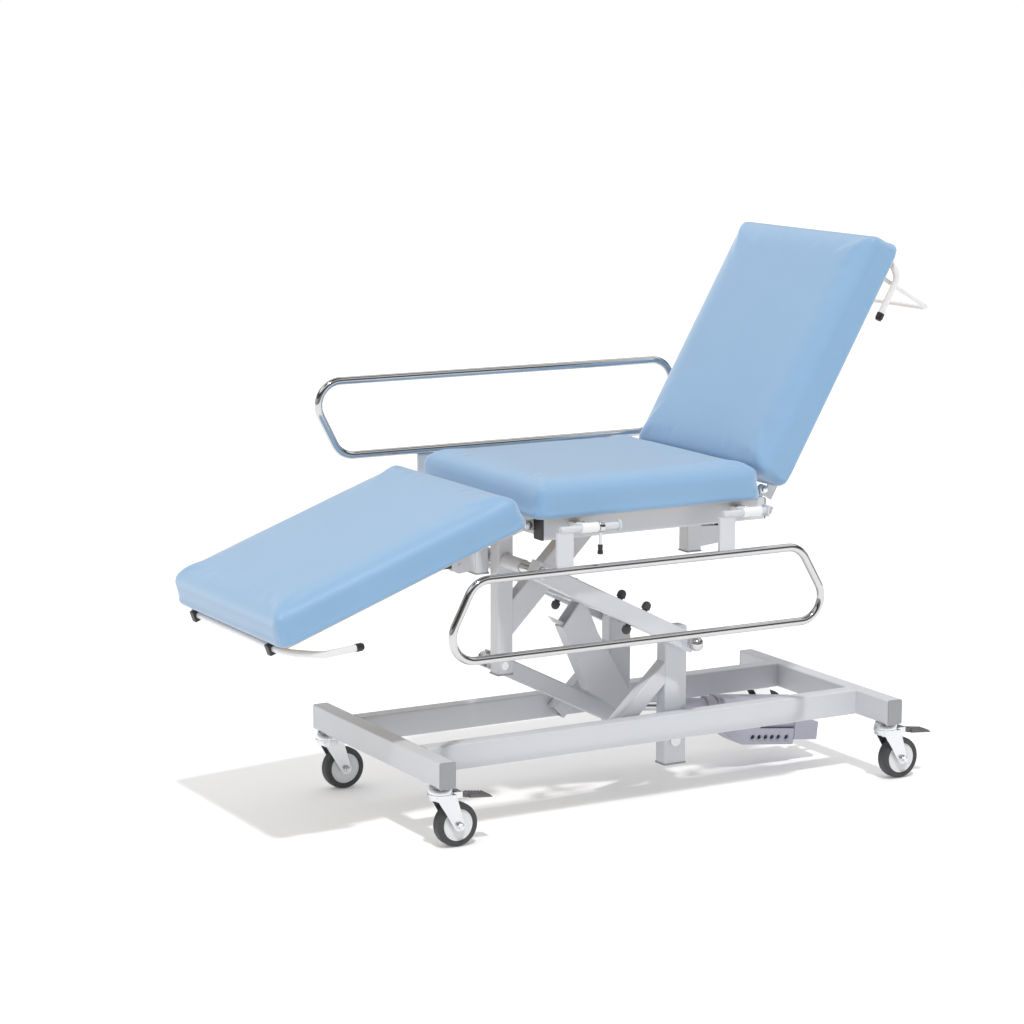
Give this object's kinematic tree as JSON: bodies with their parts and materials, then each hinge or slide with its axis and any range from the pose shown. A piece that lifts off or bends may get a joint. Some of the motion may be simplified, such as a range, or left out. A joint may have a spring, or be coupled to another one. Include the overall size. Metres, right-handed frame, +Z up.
{
  "type": "medical exam table",
  "caption": "Three-section electric exam table: parallelogram lift on a castor base, tilting leg rest and backrest with padded cushions, and swing-down side rails.",
  "frame": {"origin": "on the floor under the middle of the base", "axes": "+X towards the head end, +Y towards the far side, +Z up"},
  "size_m": [1.7488, 0.683, 1.315],
  "materials": {
    "frame": "satin light grey powder coat",
    "end_plastic": "moulded grey plastic",
    "zinc": "bright zinc plated steel",
    "chrome": "polished chrome",
    "wheel_hub": "white moulded nylon",
    "tyre": "dark grey rubber",
    "black_plastic": "black moulded plastic",
    "pedal": "grey ribbed nylon",
    "buffer": "dark rubber",
    "vinyl": "light blue grained vinyl",
    "plywood": "birch plywood",
    "actuator": "lavender grey moulded plastic",
    "white_tube": "gloss white powder coat",
    "white_plastic": "white acetal",
    "strut": "black painted steel"
  },
  "bodies": {
    "base": {"base_frame": "frame", "base_end_inserts": "end_plastic", "lift_posts": "frame", "base_shafts": "chrome", "castor_heads": "zinc", "actuator_bracket": "frame"},
    "swivel_near_foot": {"castor_fork_near_foot": "zinc"},
    "wheel_near_foot": {"castor_hub_near_foot": "wheel_hub", "castor_tyre_near_foot": "tyre"},
    "pedal_near_foot": {"brake_pedal_near_foot": "pedal"},
    "swivel_near_head": {"castor_fork_near_head": "zinc"},
    "wheel_near_head": {"castor_hub_near_head": "wheel_hub", "castor_tyre_near_head": "tyre"},
    "pedal_near_head": {"brake_pedal_near_head": "pedal"},
    "swivel_far_foot": {"castor_fork_far_foot": "zinc"},
    "wheel_far_foot": {"castor_hub_far_foot": "wheel_hub", "castor_tyre_far_foot": "tyre"},
    "swivel_far_head": {"castor_fork_far_head": "zinc"},
    "wheel_far_head": {"castor_hub_far_head": "wheel_hub", "castor_tyre_far_head": "tyre"},
    "pedal_far_head": {"brake_pedal_far_head": "pedal"},
    "lift_arms": {"upper_arms": "frame", "lift_lever": "frame", "arm_buffers": "buffer"},
    "lower_arm": {"lower_arm": "frame"},
    "seat": {"seat_frame": "frame", "seat_column": "frame", "seat_end_caps": "black_plastic", "column_caps": "end_plastic", "seat_shafts": "chrome", "rail_barrels": "white_plastic", "seat_board": "plywood", "seat_cushion": "vinyl"},
    "actuator": {"actuator_housing": "actuator", "actuator_tube": "actuator", "control_box": "actuator"},
    "actuator_rod": {"actuator_rod": "chrome"},
    "leg_rest": {"leg_frame": "frame", "leg_board": "plywood", "leg_cushion": "vinyl", "leg_handle_clips": "black_plastic"},
    "leg_release": {"leg_handle": "white_tube", "leg_handle_grips": "black_plastic"},
    "backrest": {"back_frame": "frame", "back_board": "plywood", "back_cushion": "vinyl", "back_handle_clips": "black_plastic", "paper_roll_holder": "white_tube"},
    "back_release": {"back_handle": "white_tube", "back_handle_grips": "black_plastic"},
    "leg_strut": {"leg_strut_cylinder": "strut"},
    "leg_strut_rod": {"leg_strut_rod": "chrome"},
    "back_strut": {"back_strut_cylinder": "strut"},
    "back_strut_rod": {"back_strut_rod": "chrome"},
    "near_side_rail": {"near_rail": "chrome", "near_rail_uprights": "frame"},
    "near_lock": {"near_lock_lever": "black_plastic"},
    "far_side_rail": {"far_rail": "chrome", "far_rail_uprights": "frame"},
    "far_lock": {"far_lock_lever": "black_plastic"}
  },
  "joints": [
    {"name": "castor_swivel_near_foot", "type": "hinge", "parent": "base", "child": "swivel_near_foot", "pos_m": [-0.608, -0.281, 0.11], "axis": [0, 0, 1], "continuous": true},
    {"name": "castor_spin_near_foot", "type": "hinge", "parent": "swivel_near_foot", "child": "wheel_near_foot", "pos_m": [-0.57, -0.281, 0.05], "axis": [0, 1, 0], "continuous": true},
    {"name": "brake_near_foot", "type": "hinge", "parent": "swivel_near_foot", "child": "pedal_near_foot", "pos_m": [-0.566, -0.281, 0.119], "axis": [0, 1, 0], "range_deg": [0, 10]},
    {"name": "castor_swivel_near_head", "type": "hinge", "parent": "base", "child": "swivel_near_head", "pos_m": [0.608, -0.281, 0.11], "axis": [0, 0, 1], "continuous": true},
    {"name": "castor_spin_near_head", "type": "hinge", "parent": "swivel_near_head", "child": "wheel_near_head", "pos_m": [0.646, -0.281, 0.05], "axis": [0, 1, 0], "continuous": true},
    {"name": "brake_near_head", "type": "hinge", "parent": "swivel_near_head", "child": "pedal_near_head", "pos_m": [0.65, -0.281, 0.119], "axis": [0, 1, 0], "range_deg": [0, 10]},
    {"name": "castor_swivel_far_foot", "type": "hinge", "parent": "base", "child": "swivel_far_foot", "pos_m": [-0.608, 0.281, 0.11], "axis": [0, 0, 1], "continuous": true},
    {"name": "castor_spin_far_foot", "type": "hinge", "parent": "swivel_far_foot", "child": "wheel_far_foot", "pos_m": [-0.57, 0.281, 0.05], "axis": [0, 1, 0], "continuous": true},
    {"name": "castor_swivel_far_head", "type": "hinge", "parent": "base", "child": "swivel_far_head", "pos_m": [0.608, 0.281, 0.11], "axis": [0, 0, 1], "continuous": true},
    {"name": "castor_spin_far_head", "type": "hinge", "parent": "swivel_far_head", "child": "wheel_far_head", "pos_m": [0.646, 0.281, 0.05], "axis": [0, 1, 0], "continuous": true},
    {"name": "brake_far_head", "type": "hinge", "parent": "swivel_far_head", "child": "pedal_far_head", "pos_m": [0.65, 0.281, 0.119], "axis": [0, 1, 0], "range_deg": [0, 10]},
    {"name": "lift", "type": "hinge", "parent": "base", "child": "lift_arms", "pos_m": [0.095, 0, 0.377], "axis": [0, 1, 0], "range_deg": [-28, 17.2]},
    {"name": "seat_level", "type": "hinge", "parent": "lift_arms", "child": "seat", "pos_m": [-0.29506, 0, 0.57403], "axis": [0, 1, 0], "range_deg": [-17.4, 28.2]},
    {"name": "lower_arm_swing", "type": "hinge", "parent": "base", "child": "lower_arm", "pos_m": [0.095, 0, 0.128], "axis": [0, 1, 0], "range_deg": [-28.2, 17.4]},
    {"name": "actuator_tilt", "type": "hinge", "parent": "base", "child": "actuator", "pos_m": [0.566, 0, 0.125], "axis": [0, 1, 0], "range_deg": [-0.4, 0.6]},
    {"name": "actuator_stroke", "type": "slide", "parent": "actuator", "child": "actuator_rod", "axis": [-0.9932, 0, 0.1163], "range_m": [-0.0948, 0.0585]},
    {"name": "leg_rest_tilt", "type": "hinge", "parent": "seat", "child": "leg_rest", "pos_m": [-0.352, 0, 0.694], "axis": [0, 1, 0], "range_deg": [-10, 20]},
    {"name": "leg_strut_swing", "type": "hinge", "parent": "seat", "child": "leg_strut", "pos_m": [-0.39, 0.042, 0.565], "axis": [0, 1, 0], "range_deg": [-11.1, 22.1]},
    {"name": "leg_strut_stroke", "type": "slide", "parent": "leg_strut", "child": "leg_strut_rod", "axis": [-1, 0, 0.0066], "range_m": [-0.0231, 0.0458]},
    {"name": "backrest_tilt", "type": "hinge", "parent": "seat", "child": "backrest", "pos_m": [0.282, 0, 0.725], "axis": [0, 1, 0], "range_deg": [0, 60]},
    {"name": "back_strut_swing", "type": "hinge", "parent": "seat", "child": "back_strut", "pos_m": [0.325, 0.042, 0.575], "axis": [0, 1, 0], "range_deg": [-0.1, 42.7]},
    {"name": "back_strut_stroke", "type": "slide", "parent": "back_strut", "child": "back_strut_rod", "axis": [0.3408, 0, 0.9401], "range_m": [-0.128, 0.0005]},
    {"name": "leg_release_squeeze", "type": "hinge", "parent": "leg_rest", "child": "leg_release", "pos_m": [-0.97177, 0, 0.47587], "axis": [0, 1, 0], "range_deg": [-8, 0], "stiffness_Nm_per_rad": 8, "springref_deg": 20.05},
    {"name": "back_release_squeeze", "type": "hinge", "parent": "backrest", "child": "back_release", "pos_m": [0.61352, 0, 1.2472], "axis": [0, 1, 0], "range_deg": [0, 8], "stiffness_Nm_per_rad": 8, "springref_deg": -20.05},
    {"name": "near_rail_swing", "type": "hinge", "parent": "seat", "child": "near_side_rail", "pos_m": [0, -0.3285, 0.697], "axis": [-1, 0, 0], "range_deg": [0, 180]},
    {"name": "near_lock_turn", "type": "hinge", "parent": "seat", "child": "near_lock", "pos_m": [-0.228, -0.3285, 0.697], "axis": [-1, 0, 0], "range_deg": [0, 60]},
    {"name": "far_rail_swing", "type": "hinge", "parent": "seat", "child": "far_side_rail", "pos_m": [0, 0.3285, 0.697], "axis": [-1, 0, 0], "range_deg": [0, 180]},
    {"name": "far_lock_turn", "type": "hinge", "parent": "seat", "child": "far_lock", "pos_m": [-0.228, 0.3285, 0.697], "axis": [1, 0, 0], "range_deg": [0, 60]}
  ],
  "couplings": [
    {"joint": "seat_level", "follows": "lift", "ratio": -1},
    {"joint": "lower_arm_swing", "follows": "lift", "ratio": 1},
    {"joint": "actuator_tilt", "follows": "lift", "ratio": -0.02},
    {"joint": "actuator_stroke", "follows": "lift", "m_per_rad": 0.193},
    {"joint": "leg_strut_swing", "follows": "leg_rest_tilt", "ratio": 1.1},
    {"joint": "leg_strut_stroke", "follows": "leg_rest_tilt", "m_per_rad": 0.1304},
    {"joint": "back_strut_swing", "follows": "backrest_tilt", "ratio": 0.7075},
    {"joint": "back_strut_stroke", "follows": "backrest_tilt", "m_per_rad": -0.1216}
  ]
}
